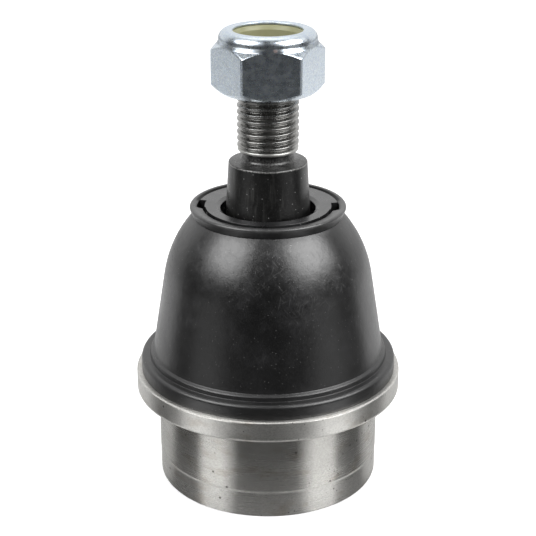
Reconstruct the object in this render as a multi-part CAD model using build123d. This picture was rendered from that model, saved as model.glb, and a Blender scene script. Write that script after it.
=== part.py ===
"""Press-in suspension ball joint with dust boot, 1:8 taper stud and M14 x 1.5 lock nut.

Millimetres. +Z runs up along the stud, and the origin is the centre of the housing's lower rim,
so the joint stands on z = 0. Every piece is turned about Z, apart from the hexagon, the notches
and the grease grooves.
"""
from build123d import *
from math import acos, asin, cos, degrees, radians, sin, sqrt, tan
import os

# --- Housing: turned steel cup, pressed into the control arm up to its flange ---
PRESS_D = 51.8           # press-fit cylinder
LAND_D = 51.7            # lead-in land below it
LAND_H = 6.33
FLANGE_D = 62.0
FLANGE_Z = 21.9          # underside of the flange
FLANGE_T = 4.87
BOOT_NECK_H = 5.3        # register for the boot's base ring
EDGE_BREAK = 0.5         # rounding of the turned edges
BASE_BREAK = 0.65        # and of the lowest outer edge
SOCKET_FLOOR_GAP = 1.0   # bore left free above the pressure seat
MOUTH_EDGE = 0.1         # least chamfer round the socket's mouth

# --- Ball, its two bearing cups and how far it swings ---
BALL_D = 30.0
BALL_Z = 21.8            # height of the ball's centre
BALL_FLAT = 0.8          # cut off the bottom of the ball, for grease
SWING = 20.0             # degrees each way about X, and about Y
CUP_T = 2.1              # wall of the bearing cups
SLIDE_GAP = 0.1          # between two spherical faces that slide
NECK_GAP = 1.0           # between the stud's neck and any rim at full swing
GREASE_HOLE_D = 14.0     # in the lower cup
GROOVE_COUNT = 6
GROOVE_W = 1.6
GROOVE_DEPTH = 0.7

# --- Closing stack under the ball ---
RIM_T = 1.2              # rolled lip that holds the cover plate
RIM_BORE_D = 37.2
COVER_D = 41.0
COVER_T = 2.0
COVER_DISH = 0.45        # height of the cover's raised centre
SPRING_T = 1.2
SPRING_RISE = 1.0        # cone height of the disc spring
SPRING_OD = 35.0
SPRING_BORE_D = 23.0
SEAT_D = 36.6            # pressure seat
SEAT_BORE_D = 20.0
SEAT_RIM_ANGLE = 26.0    # degrees from the ball's equator down to the seat's upper rim
SEAT_FIT = 0.1           # radial clearance of the seat in its bore

# --- Stud ---
STUD_NECK_D = 15.0
NECK_FILLET = 0.8        # where the neck leaves the ball
NECK_TOP_Z = 36.3        # the neck starts to widen here
SHANK_Z = 54.3           # and reaches the taper here
TAPER_TOP_D = 17.74
TAPER_TOP_Z = 76.78
TAPER_RATIO = 8.0        # length for one unit of diameter
TAPER_EDGE = 0.35
RELIEF_D = 11.5          # groove between taper and thread
RELIEF_H = 2.4
RELIEF_FILLET = 0.6
THREAD_D = 13.8          # crests of the M14 x 1.5 thread, which is left plain here
THREAD_LEAD = 0.9        # chamfer at both ends of the thread
STUD_TOP_Z = 101.3
CENTRE_HOLE_D = 3.2      # 60 degree centre in the stud's end

# --- Lock nut with nylon insert ---
THREAD_ENGAGED = 8.5     # bearing face below the stud's end
NUT_H = 13.8
NUT_AF = 22.0            # across flats
NUT_TURN = 4.2           # degrees that the hexagon is turned from square
HEX_H = 10.6             # up to the foot of the collar
HEX_CHAMFER = 1.6        # drop of the lower chamfer at a corner
HEX_TOP_CHAMFER = 1.4    # and of the upper one
WASHER_FACE_D = 20.8
COLLAR_D = 21.7
COLLAR_ROLL = 2.0        # outer radius of the rolled collar
COLLAR_BORE_D = 15.4
COLLAR_LIP_T = 0.75
COLLAR_LIP_EDGE = 0.3    # chamfer width at the lip's inner edge, twice its height
COLLAR_FOOT_W = 0.3      # the fillet between the hexagon's top and the collar
COLLAR_FOOT_H = 0.9
COLLAR_FOOT_SAG = 0.1    # depth of that fillet below a straight bevel
THREAD_GAP = 0.1         # radial, between the plain bores and the plain thread
BORE_LEAD = 0.5          # chamfer where the nut's bore starts
INSERT_H = 3.6
INSERT_D = 17.8
INSERT_GAP = 0.1

# --- Dust boot, its base ring and its neck ring ---
BOOT_SKIRT_D = 59.6
SKIRT_H = 3.42           # wall of the skirt, from the flange to the top of its ridge
RIDGE_ROUND = 0.9        # outer rounding of the ridge
GROOVE_D = 55.6          # foot of the bead, at the ridge's inner edge
BEAD_H = 1.5             # bead above the ridge
BEAD_BULGE = 0.17
DOME_BASE_D = 53.45
DOME_BASE_H = 6.0        # foot of the dome above the flange
DOME_DRAFT = 9.18        # degrees
SHOULDER_DROP = 16.55    # the dome's straight wall ends this far below the boot's top
LIP_ROOT_D = 34.15       # narrowest place, under the lip
LIP_ROOT_DROP = 2.4      # below the boot's top
LIP_D = 35.7
LIP_ROUND = 0.45
LIP_CROWN_D = 33.8       # inner edge of the lip's crown; the lip slopes down inside it
LIP_SHELF_D = 29.4       # the front half of the lip reaches in over the ring's rim
LIP_SHELF_DROP = 0.5     # from the crown down to the shelf's inner edge
BOOT_TOP_Z = 66.5
BOOT_WALL = 1.9
SEAL_GAP = 0.3           # between the boot's inner lip and the stud
SLEEVE_FIT = 0.1         # between the boot's wall and the base ring inside it
RING_SLEEVE_T = 1.1      # base ring
RING_SLEEVE_H = 4.95
RING_FOOT_D = 56.6
RING_FOOT_T = 1.2
NECK_RING_D = 32.0
NECK_RING_T = 4.9
NECK_RING_BORE_D = 21.6
NECK_RING_DROP = 0.3     # its face lies this far below the boot's lip
NECK_RING_GAP = 0.2      # round the ring and under it
NECK_RING_CHAMFER = 0.4
REBATE_D = 28.9          # the ring's rim is cut back to this under the lip's shelf
REBATE_H = 1.3
CUTTER_EXTRA = 1.0       # a cutter reaches this far past what it cuts
NOTCH_W = 5.2
NOTCH_DEPTH = 1.6
NOTCH_H = 2.6
NOTCH_TURN = -3.4        # degrees from the X axis

SAME = 1e-6              # lengths closer than this are equal

# --- Sizes that follow from those above ---
ball_r = BALL_D / 2
cup_inner_r = ball_r + SLIDE_GAP
cup_outer_r = cup_inner_r + CUP_T
socket_r = cup_outer_r + SLIDE_GAP
stud_neck_r = STUD_NECK_D / 2
corner_swing = degrees(acos(cos(radians(SWING)) ** 2))
flange_top_z = FLANGE_Z + FLANGE_T
neck_top_z = flange_top_z + BOOT_NECK_H
draft = radians(DOME_DRAFT)
sleeve_r = DOME_BASE_D / 2 - BOOT_WALL / cos(draft) - SLEEVE_FIT
boot_neck_r = sleeve_r - RING_SLEEVE_T
cover_top_z = RIM_T + COVER_T
seat_bottom_z = cover_top_z + SPRING_T + SPRING_RISE
seat_top_z = BALL_Z - socket_r * sin(radians(SEAT_RIM_ANGLE))
seat_bore_r = SEAT_D / 2 + SEAT_FIT
thread_start_z = TAPER_TOP_Z + RELIEF_H
nut_z = STUD_TOP_Z - THREAD_ENGAGED
nut_top_z = nut_z + NUT_H
insert_top_z = nut_top_z - COLLAR_LIP_T - INSERT_GAP
insert_bottom_z = insert_top_z - INSERT_H
thread_bore_r = THREAD_D / 2 + THREAD_GAP
ring_face_z = BOOT_TOP_Z - NECK_RING_DROP
ring_seat_z = ring_face_z - NECK_RING_T - NECK_RING_GAP


def on_ball(radius, polar):
    """The (r, z) point at this distance from the ball's centre, polar degrees down from +Z."""
    return radius * sin(radians(polar)), BALL_Z + radius * cos(radians(polar))


def rim_polar(radius, swing):
    """Polar angle of a rim on this sphere that clears the neck when it leans by swing."""
    return swing + degrees(asin((stud_neck_r + NECK_GAP) / radius))


def shank_r(z):
    """Radius of the stud's taper at height z."""
    return TAPER_TOP_D / 2 + (TAPER_TOP_Z - z) / TAPER_RATIO / 2


def dome_r(z):
    """Radius of the boot's drafted wall at height z."""
    return DOME_BASE_D / 2 - (z - flange_top_z - DOME_BASE_H) * tan(draft)


def lip_top_z(r):
    """Height of the lip's sloping top inside its crown."""
    crown_r = LIP_CROWN_D / 2
    return BOOT_TOP_Z - (crown_r - r) / (crown_r - LIP_SHELF_D / 2) * LIP_SHELF_DROP


def turned(edges):
    """The solid that a closed (r, z) outline sweeps about Z."""
    return revolve(Plane.XZ * make_face(edges), Axis.Z)


def turned_polygon(*points):
    return turned(Polyline(*points, close=True).edges())


def pipe(outer_r, inner_r, z_low, z_high):
    return turned_polygon((inner_r, z_low), (outer_r, z_low), (outer_r, z_high), (inner_r, z_high))


def spherical_arc(radius, polar_from, polar_to):
    middle = (polar_from + polar_to) / 2
    return ThreePointArc(
        on_ball(radius, polar_from), on_ball(radius, middle), on_ball(radius, polar_to)
    )


def front_half(solid):
    """The part of a solid on the front side of both notches."""
    side = BOOT_SKIRT_D
    keep = Pos(0, -side / 2 - NOTCH_W / 2, BOOT_TOP_Z) * Box(side, side, side)
    return solid & (Rot(0, 0, NOTCH_TURN) * keep)


def make_housing():
    """Cup with a spherical seat above the ball, a bore below it and a lip rolled over the cover."""
    rim_angle = rim_polar(socket_r, corner_swing)
    mouth = on_ball(socket_r, rim_angle)
    flare = max(neck_top_z - mouth[1], MOUTH_EDGE)
    seat_arc = spherical_arc(socket_r, rim_angle, 90)
    shoulder_z = seat_top_z + SOCKET_FLOOR_GAP
    body = Polyline(
        seat_arc @ 1,
        (socket_r, shoulder_z),
        (seat_bore_r, shoulder_z),
        (seat_bore_r, cover_top_z),
        (COVER_D / 2, cover_top_z),
        (COVER_D / 2, RIM_T),
        (RIM_BORE_D / 2, RIM_T),
        (RIM_BORE_D / 2, 0),
        (LAND_D / 2, 0),
        (LAND_D / 2, LAND_H),
        (PRESS_D / 2, LAND_H + (PRESS_D - LAND_D) / 2),
        (PRESS_D / 2, FLANGE_Z),
        (FLANGE_D / 2, FLANGE_Z),
        (FLANGE_D / 2, flange_top_z),
        (boot_neck_r, flange_top_z),
        (boot_neck_r, neck_top_z),
        (mouth[0] + flare, neck_top_z),
        seat_arc @ 0,
    )
    housing = turned([*seat_arc.edges(), *body.edges()])
    rims = (
        (LAND_D / 2, 0, BASE_BREAK),
        (RIM_BORE_D / 2, 0, EDGE_BREAK),
        (FLANGE_D / 2, FLANGE_Z, EDGE_BREAK),
        (FLANGE_D / 2, flange_top_z, EDGE_BREAK),
        (boot_neck_r, neck_top_z, EDGE_BREAK),
    )
    for radius, z, rounding in rims:
        edges = [
            edge
            for edge in housing.edges().filter_by(GeomType.CIRCLE)
            if abs(edge.radius - radius) < SAME and abs(edge.center().Z - z) < SAME
        ]
        housing = fillet(edges, rounding)
    return housing


def make_cover_plate():
    """Pressed disc with a raised centre, held by the housing's rolled lip."""
    dish_r = SPRING_BORE_D / 2 - SPRING_T
    slope = COVER_DISH * 2
    return turned_polygon(
        (0, RIM_T + COVER_DISH),
        (dish_r - slope, RIM_T + COVER_DISH),
        (dish_r, RIM_T),
        (COVER_D / 2, RIM_T),
        (COVER_D / 2, cover_top_z),
        (dish_r, cover_top_z),
        (dish_r - slope, cover_top_z + COVER_DISH),
        (0, cover_top_z + COVER_DISH),
    )


def make_preload_spring():
    """Disc spring: its outer edge stands on the cover, its inner edge lifts the pressure seat."""
    return turned_polygon(
        (SPRING_OD / 2, cover_top_z),
        (SPRING_OD / 2, cover_top_z + SPRING_T),
        (SPRING_BORE_D / 2, seat_bottom_z),
        (SPRING_BORE_D / 2, seat_bottom_z - SPRING_T),
    )


def make_pressure_seat():
    """Ring with a spherical upper face that carries the bearing cups."""
    bore_polar = 180 - degrees(asin(SEAT_BORE_D / 2 / socket_r))
    face = spherical_arc(socket_r, 90 + SEAT_RIM_ANGLE, bore_polar)
    sides = Polyline(
        face @ 1,
        (SEAT_BORE_D / 2, seat_bottom_z),
        (SEAT_D / 2, seat_bottom_z),
        (SEAT_D / 2, seat_top_z),
        face @ 0,
    )
    return turned([*face.edges(), *sides.edges()])


def make_cup(inner_from, inner_to, outer_from, outer_to):
    """Spherical shell between four polar angles, with grease grooves in its inner face."""
    inner = spherical_arc(cup_inner_r, inner_from, inner_to)
    outer = spherical_arc(cup_outer_r, outer_from, outer_to)
    shell = turned([
        *inner.edges(),
        *outer.edges(),
        *Line(inner @ 0, outer @ 0).edges(),
        *Line(inner @ 1, outer @ 1).edges(),
    ])
    groove_ball = Sphere(cup_inner_r + GROOVE_DEPTH)
    for index in range(GROOVE_COUNT // 2):
        turn = 180 * index / (GROOVE_COUNT // 2)
        slab = Rot(0, 0, turn) * Box(BALL_D * 2, GROOVE_W, BALL_D * 2)
        shell -= Pos(0, 0, BALL_Z) * (groove_ball & slab)
    return shell


def make_upper_cup():
    inner_rim = rim_polar(cup_inner_r, SWING)
    outer_rim = rim_polar(cup_outer_r, SWING)
    return make_cup(inner_rim, 90, outer_rim, 90)


def make_lower_cup():
    inner_hole = 180 - degrees(asin(GREASE_HOLE_D / 2 / cup_inner_r))
    outer_hole = 180 - degrees(asin(GREASE_HOLE_D / 2 / cup_outer_r))
    return make_cup(90, inner_hole, 90, outer_hole)


def make_ball_stud():
    """One forging: ball, neck, 1:8 taper, relief groove and the cylinder for the thread."""
    flat_z = BALL_Z - ball_r + BALL_FLAT
    flat_polar = 180 - degrees(acos((BALL_Z - flat_z) / ball_r))
    fillet_polar = degrees(asin((stud_neck_r + NECK_FILLET) / (ball_r + NECK_FILLET)))
    fillet_z = BALL_Z + (ball_r + NECK_FILLET) * cos(radians(fillet_polar))
    ball = spherical_arc(ball_r, flat_polar, fillet_polar)
    throat = TangentArc(ball @ 1, (stud_neck_r, fillet_z), tangent=ball % 1)
    neck = Line(throat @ 1, (stud_neck_r, NECK_TOP_Z))
    flare = Spline(
        neck @ 1, (shank_r(SHANK_Z), SHANK_Z), tangents=[(0, 1), (-1 / TAPER_RATIO / 2, 1)]
    )
    relief_r = RELIEF_D / 2
    taper = Polyline(
        flare @ 1,
        (shank_r(TAPER_TOP_Z - TAPER_EDGE), TAPER_TOP_Z - TAPER_EDGE),
        (TAPER_TOP_D / 2 - TAPER_EDGE, TAPER_TOP_Z),
        (relief_r + RELIEF_FILLET, TAPER_TOP_Z),
    )
    root = TangentArc(
        taper @ 1, (relief_r, TAPER_TOP_Z + RELIEF_FILLET), tangent=(-1, 0)
    )
    end = Polyline(
        root @ 1,
        (relief_r, thread_start_z),
        (THREAD_D / 2, thread_start_z + THREAD_LEAD),
        (THREAD_D / 2, STUD_TOP_Z - THREAD_LEAD),
        (THREAD_D / 2 - THREAD_LEAD, STUD_TOP_Z),
        (CENTRE_HOLE_D / 2, STUD_TOP_Z),
        (0, STUD_TOP_Z - CENTRE_HOLE_D / 2 / tan(radians(30))),
        (0, flat_z),
        ball @ 0,
    )
    outline = [ball, throat, neck, flare, taper, root, end]
    return turned([edge for line in outline for edge in line.edges()])


def make_lock_nut():
    """Hexagon with chamfered corners and a collar rolled over the nylon insert."""
    corner_r = NUT_AF / sqrt(3)
    hex_top_z = nut_z + HEX_H
    collar_r = COLLAR_D / 2
    cavity_r = INSERT_D / 2 + INSERT_GAP
    roll_z = nut_top_z - COLLAR_ROLL
    foot_z = hex_top_z + COLLAR_FOOT_H
    outside = Polyline(
        (thread_bore_r + BORE_LEAD, nut_z),
        (WASHER_FACE_D / 2, nut_z),
        (corner_r, nut_z + HEX_CHAMFER),
        (corner_r, hex_top_z - HEX_TOP_CHAMFER),
        (collar_r + COLLAR_FOOT_W, hex_top_z),
    )
    foot_middle = (collar_r + COLLAR_FOOT_W / 2 - COLLAR_FOOT_SAG, (hex_top_z + foot_z) / 2)
    foot = ThreePointArc(outside @ 1, foot_middle, (collar_r, foot_z))
    wall = Line(foot @ 1, (collar_r, roll_z))
    roll = TangentArc(wall @ 1, (collar_r - COLLAR_ROLL, nut_top_z), tangent=(0, 1))
    lip_r = COLLAR_BORE_D / 2
    inside = Polyline(
        roll @ 1,
        (lip_r + COLLAR_LIP_EDGE, nut_top_z - COLLAR_LIP_EDGE / 2),
        (lip_r, nut_top_z - COLLAR_LIP_T / 2),
        (lip_r, nut_top_z - COLLAR_LIP_T),
        (cavity_r, nut_top_z - COLLAR_LIP_T),
        (cavity_r, insert_bottom_z - INSERT_GAP),
        (thread_bore_r, insert_bottom_z - INSERT_GAP),
        (thread_bore_r, nut_z + BORE_LEAD),
        outside @ 0,
    )
    outline = [outside, foot, wall, roll, inside]
    blank = turned([edge for line in outline for edge in line.edges()])
    hexagon = extrude(RegularPolygon(NUT_AF / 2, 6, major_radius=False), NUT_H)
    return blank & (Pos(0, 0, nut_z) * Rot(0, 0, NUT_TURN) * hexagon)


def make_nylon_insert():
    return pipe(INSERT_D / 2, thread_bore_r, insert_bottom_z, insert_top_z)


def make_boot_base_ring():
    """Steel L-ring that holds the boot's foot on the housing."""
    return turned_polygon(
        (boot_neck_r, flange_top_z),
        (RING_FOOT_D / 2, flange_top_z),
        (RING_FOOT_D / 2, flange_top_z + RING_FOOT_T),
        (sleeve_r, flange_top_z + RING_FOOT_T),
        (sleeve_r, flange_top_z + RING_SLEEVE_H),
        (boot_neck_r, flange_top_z + RING_SLEEVE_H),
    )


def boot_skirt():
    """Outer edge of the boot's foot: wall, rounded ridge, groove and bead, from the flange up."""
    skirt_r = BOOT_SKIRT_D / 2
    ridge_z = flange_top_z + SKIRT_H
    bead_z = ridge_z + BEAD_H
    groove = Vector(GROOVE_D / 2, ridge_z)
    bead_top = Vector(dome_r(bead_z), bead_z)
    chord = bead_top - groove
    bulge = Vector(chord.Y, -chord.X).normalized() * BEAD_BULGE
    wall = Line((skirt_r, flange_top_z), (skirt_r, ridge_z - RIDGE_ROUND))
    ridge = TangentArc(wall @ 1, (skirt_r - RIDGE_ROUND, ridge_z), tangent=(0, 1))
    top = Line(ridge @ 1, groove)
    bead = ThreePointArc(groove, groove + chord / 2 + bulge, bead_top)
    return [wall, ridge, top, bead]


def make_dust_boot():
    """Rubber bell: skirt on the flange, drafted wall, round shoulder, lip round the neck ring."""
    foot = Vector(DOME_BASE_D / 2, flange_top_z + DOME_BASE_H)
    bend = Vector(dome_r(BOOT_TOP_Z - SHOULDER_DROP), BOOT_TOP_Z - SHOULDER_DROP)
    skirt = boot_skirt()
    dome = Line(skirt[-1] @ 1, bend)
    lip_root = (LIP_ROOT_D / 2, BOOT_TOP_Z - LIP_ROOT_DROP)
    shoulder = TangentArc(bend, lip_root, tangent=(-sin(draft), cos(draft)))
    lip_r = LIP_D / 2
    recess_r = NECK_RING_D / 2 + NECK_RING_GAP
    lip = Line(shoulder @ 1, (lip_r, BOOT_TOP_Z - LIP_ROUND))
    lip_edge = TangentArc(lip @ 1, (lip_r - LIP_ROUND, BOOT_TOP_Z), tangent=(0, 1))

    # inside: the same wall, one thickness in, closed above by the inner lip round the stud
    inward = Vector(cos(draft), sin(draft)) * -BOOT_WALL
    centre = shoulder.arc_center
    inner_r = shoulder.radius - BOOT_WALL
    under_z = ring_seat_z - BOOT_WALL
    crown = Vector(centre.X + sqrt(inner_r ** 2 - (under_z - centre.Y) ** 2), under_z)
    seal_r = shank_r(under_z) + SEAL_GAP
    neck = Polyline(
        lip_edge @ 1,
        (LIP_CROWN_D / 2, BOOT_TOP_Z),
        (recess_r, lip_top_z(recess_r)),
        (recess_r, ring_seat_z),
        (seal_r, ring_seat_z),
        (seal_r, under_z),
        crown,
    )
    inner_shoulder = TangentArc(bend + inward, crown, tangent=(-sin(draft), cos(draft)))
    base = Polyline(
        bend + inward,
        foot + inward,
        (sleeve_r, flange_top_z + RING_SLEEVE_H),
        (sleeve_r, flange_top_z + RING_FOOT_T),
        (RING_FOOT_D / 2, flange_top_z + RING_FOOT_T),
        (RING_FOOT_D / 2, flange_top_z),
        skirt[0] @ 0,
    )
    outline = [*skirt, dome, shoulder, lip, lip_edge, neck, inner_shoulder, base]
    bell = turned([edge for line in outline for edge in line.edges()])
    return bell + front_half(lip_shelf())


def lip_shelf():
    """Flat collar from inside the lip to its inner edge, over the ring's rebate."""
    inner_r = LIP_SHELF_D / 2
    buried_r = (NECK_RING_D / 2 + NECK_RING_GAP + LIP_CROWN_D / 2) / 2
    under_z = ring_face_z - REBATE_H + NECK_RING_GAP
    return turned_polygon(
        (inner_r, under_z),
        (buried_r, under_z),
        (buried_r, lip_top_z(buried_r)),
        (inner_r, lip_top_z(inner_r)),
    )


def make_boot_neck_ring():
    """Slide ring in the boot's neck: two notches in its rim, and a rebate between them in front."""
    bore_r = NECK_RING_BORE_D / 2
    outer_r = NECK_RING_D / 2
    ring = turned_polygon(
        (bore_r, ring_face_z - NECK_RING_T),
        (outer_r, ring_face_z - NECK_RING_T),
        (outer_r, ring_face_z),
        (bore_r + NECK_RING_CHAMFER * 2, ring_face_z),
        (bore_r, ring_face_z - NECK_RING_CHAMFER),
    )
    notch = Pos(outer_r, 0, ring_face_z) * Box(NOTCH_DEPTH * 2, NOTCH_W, NOTCH_H * 2)
    for turn in (NOTCH_TURN, NOTCH_TURN + 180):
        ring -= Rot(0, 0, turn) * notch
    rebate = pipe(
        outer_r + CUTTER_EXTRA, REBATE_D / 2, ring_face_z - REBATE_H, ring_face_z + CUTTER_EXTRA
    )
    return ring - front_half(rebate)


PIECES = {
    "housing": make_housing,
    "cover_plate": make_cover_plate,
    "preload_spring": make_preload_spring,
    "pressure_seat": make_pressure_seat,
    "upper_bearing_cup": make_upper_cup,
    "lower_bearing_cup": make_lower_cup,
    "ball_stud": make_ball_stud,
    "dust_boot": make_dust_boot,
    "boot_base_ring": make_boot_base_ring,
    "boot_neck_ring": make_boot_neck_ring,
    "lock_nut": make_lock_nut,
    "nylon_insert": make_nylon_insert,
}

os.makedirs("parts", exist_ok=True)
for name, make in PIECES.items():
    export_step(make(), f"parts/{name}.step")
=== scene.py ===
"""Looks of the press-in suspension ball joint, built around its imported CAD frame.

Outlines are in millimetres, as (r, z) about the stud's axis. Meshes are in metres.
"""
import math

import bpy
import numpy as np
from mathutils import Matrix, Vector


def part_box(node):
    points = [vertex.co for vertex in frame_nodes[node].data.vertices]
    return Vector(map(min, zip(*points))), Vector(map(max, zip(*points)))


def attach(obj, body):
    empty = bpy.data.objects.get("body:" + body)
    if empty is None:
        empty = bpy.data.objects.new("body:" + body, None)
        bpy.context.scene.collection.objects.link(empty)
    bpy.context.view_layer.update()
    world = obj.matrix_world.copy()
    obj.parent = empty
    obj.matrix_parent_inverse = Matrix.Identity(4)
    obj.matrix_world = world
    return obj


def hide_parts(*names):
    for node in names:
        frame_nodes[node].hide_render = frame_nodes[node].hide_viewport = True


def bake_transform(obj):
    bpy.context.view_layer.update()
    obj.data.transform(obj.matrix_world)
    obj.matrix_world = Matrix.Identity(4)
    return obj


MM = 0.001
MICRON = 0.001 * MM
SHARP = math.radians(38)  # steeper edges than this stay crisp
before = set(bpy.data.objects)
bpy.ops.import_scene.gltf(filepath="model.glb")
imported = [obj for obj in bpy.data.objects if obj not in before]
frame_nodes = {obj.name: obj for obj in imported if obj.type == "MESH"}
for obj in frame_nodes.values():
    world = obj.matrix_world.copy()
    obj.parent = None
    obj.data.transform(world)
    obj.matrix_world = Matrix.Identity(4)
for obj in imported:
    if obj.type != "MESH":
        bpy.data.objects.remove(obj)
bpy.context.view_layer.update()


def node_span(node):
    """A CAD node's outer radius and its lowest and highest z, in mm."""
    low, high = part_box(node)
    return high[0] / MM, low[2] / MM, high[2] / MM


# --- Sizes read from the frame ---
FLANGE_R, _, NECK_TOP = node_span("housing")
SKIRT_R, FLANGE_TOP, BOOT_TOP = node_span("dust_boot")
RING_R, RING_LOW, RING_TOP = node_span("boot_neck_ring")
_, BALL_LOW, STUD_TOP = node_span("ball_stud")
_, NUT_LOW, NUT_TOP = node_span("lock_nut")
INSERT_R, INSERT_LOW, INSERT_TOP = node_span("nylon_insert")
SLEEVE_TOP = node_span("boot_base_ring")[2]
BALL_Z = node_span("upper_bearing_cup")[1]  # the upper cup ends at the ball's equator

# --- Housing ---
PRESS_R = 25.9
UNDERCUT = 0.2           # the cylinder is cut back this deep just below the flange
LAND_R = 25.85
LAND_TOP = 6.33
FLANGE_T = 4.87
FLANGE_LOW = FLANGE_TOP - FLANGE_T
BOOT_NECK_R = 23.6
SOCKET_R = 17.3
MOUTH_ANGLE = math.radians(57.4)  # from the axis to the mouth's edge, at the ball's centre
SEAT_BORE_R = 18.4
SEAT_BORE_TOP = 15.2
COVER_R = 20.5           # groove that holds the cover plate
COVER_LOW = 1.2
COVER_TOP = 3.2
ROLLED_LIP_R = 18.6

# --- Stud ---
BALL_R = 15.0
STUD_NECK_R = 7.5
BRIGHT_TOP = 38.0        # the ball and the start of the neck are bright up to here
SHANK_LOW = 54.3         # the taper starts here
TAPER_R = 8.87           # its small end
TAPER_TOP = 76.78
TAPER_SLOPE = 1 / 16
RELIEF_R = 5.75
THREAD_LOW = 79.18
THREAD_FOOT_R = 6.8      # plain collar below the thread
THREAD_FOOT_H = 0.85
THREAD_START = THREAD_LOW + THREAD_FOOT_H
THREAD_R = 6.9
THREAD_PITCH = 1.5
THREAD_DEPTH = 0.74
THREAD_FLAT = 0.22       # half the width of a crest
THREAD_ROUNDING = 0.14   # the crests' and roots' edges are rounded over this much
CREST_Z = 80.98          # a crest passes the front of the stud at this height
TIP_R = 5.9              # the thread is chamfered down to this at the stud's end
CENTRE_HOLE_R = 1.6
CENTRE_HOLE_DEPTH = 2.2

# --- Lock nut and insert ---
NUT_FACE_R = 10.4
NUT_FOOT_H = 1.9         # cone from the bearing face out to the hexagon
NUT_BLANK_R = 13.1       # a little more than the hexagon's corners
NUT_BORE_R = 7.0
NUT_LEAD_IN = 0.35       # the bore widens by this at the bearing face
NUT_TURN = math.radians(4.2)
THREAD_GAP = 0.12        # between the nut's thread and the stud's
HEX_R = 11.0             # half the width across flats
HEX_H = 10.6
HEX_TOP = NUT_LOW + HEX_H
HEX_CHAMFER_H = 1.74
COLLAR_R = 10.85
COLLAR_BORE_R = 7.7
INSERT_GAP = 0.1

# --- Neck ring ---
RING_GAP = 0.2
RING_BORE_R = 10.8
REBATE_R = 14.2          # the ring's rim is cut back to this between the notches, in front
REBATE_H = 1.3
NOTCH_R = 14.4
NOTCH_H = 2.6
NOTCH_HALF_W = 2.6
NOTCH_TURN = math.radians(-3.4)
SQUEEZE_R = 13.6         # the cuts in the rim move no point nearer the axis than this

# --- Boot ---
BOOT_WALL = 1.9
BOOT_SEAM = 46.5         # where the boot's two halves meet
BASE_POCKET_R = 28.3     # pocket in the foot for the base ring's flat part
BASE_POCKET_H = 1.2
SLEEVE_R = 24.7
RIDGE_H = 3.42           # the skirt's ridge above the flange
GROOVE_R = 27.8
BEAD_H = 1.5
DOME_FOOT_R = 26.725     # the drafted wall has this radius DOME_FOOT_H above the flange
DOME_FOOT_H = 6.0
DRAFT = math.radians(9.18)
BEND_DROP = 16.55        # the wall ends and the shoulder starts this far below the lip
SHOULDER_R = 27.3
LIP_R = 17.85
LIP_ROOT_DROP = 2.4
LIP_CROWN_R = 16.9
LIP_SLOPE = 0.9          # how steeply its back half falls to the ring, as a tangent
SHELF_R = 14.85          # the front half of the lip reaches in to here
SHELF_TOP = BOOT_TOP - 0.65
SHELF_LOW = SHELF_TOP - 0.85
RECESS_R = RING_R + RING_GAP
RECESS_LOW = RING_LOW - RING_GAP


# ---------------------------------------------------------------- outlines
def fillet_points(before, corner, after, radius):
    """The arc that rounds a corner: a point at least every 9 degrees and every 0.5 mm."""
    corner, before, after = (np.array(p, float) for p in (corner, before, after))
    to_before = (before - corner) / np.linalg.norm(before - corner)
    to_after = (after - corner) / np.linalg.norm(after - corner)
    half = math.acos(np.clip(to_before @ to_after, -1, 1)) / 2
    reach = radius / math.tan(half)
    middle = (to_before + to_after) / np.linalg.norm(to_before + to_after)
    centre = corner + middle * radius / math.sin(half)
    start, end = corner + to_before * reach, corner + to_after * reach
    turn = math.pi - 2 * half
    count = max(3, int(math.ceil(turn / math.radians(9))), int(radius * turn / 0.5))
    a, b = start - centre, end - centre
    steps = np.linspace(0, 1, count + 1)[:, None]
    return centre + (np.sin((1 - steps) * turn) * a + np.sin(steps * turn) * b) / math.sin(turn)


def outline(corners, closed=True, step=0.6):
    """Points of an outline whose corners are (r, z) or (r, z, radius), one every step."""
    count = len(corners)
    rounded = []
    for i, corner in enumerate(corners):
        at_end = not closed and i in (0, count - 1)
        if len(corner) > 2 and corner[2] and not at_end:
            before, after = corners[i - 1], corners[(i + 1) % count]
            rounded.append(fillet_points(before[:2], corner[:2], after[:2], corner[2]))
        else:
            rounded.append(np.array([corner[:2]], float))
    points = []
    for i, arc in enumerate(rounded):
        points.extend(arc)
        if i + 1 < count or closed:
            start, end = arc[-1], rounded[(i + 1) % count][0]
            count_between = int(np.linalg.norm(end - start) / step)
            shares = np.linspace(0, 1, count_between + 2)[1:-1]
            points.extend(start + (end - start) * share for share in shares)
    distinct = [points[0]]
    distinct.extend(b for a, b in zip(points, points[1:]) if np.linalg.norm(b - a) > 1e-4)
    return np.array(distinct)


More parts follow.
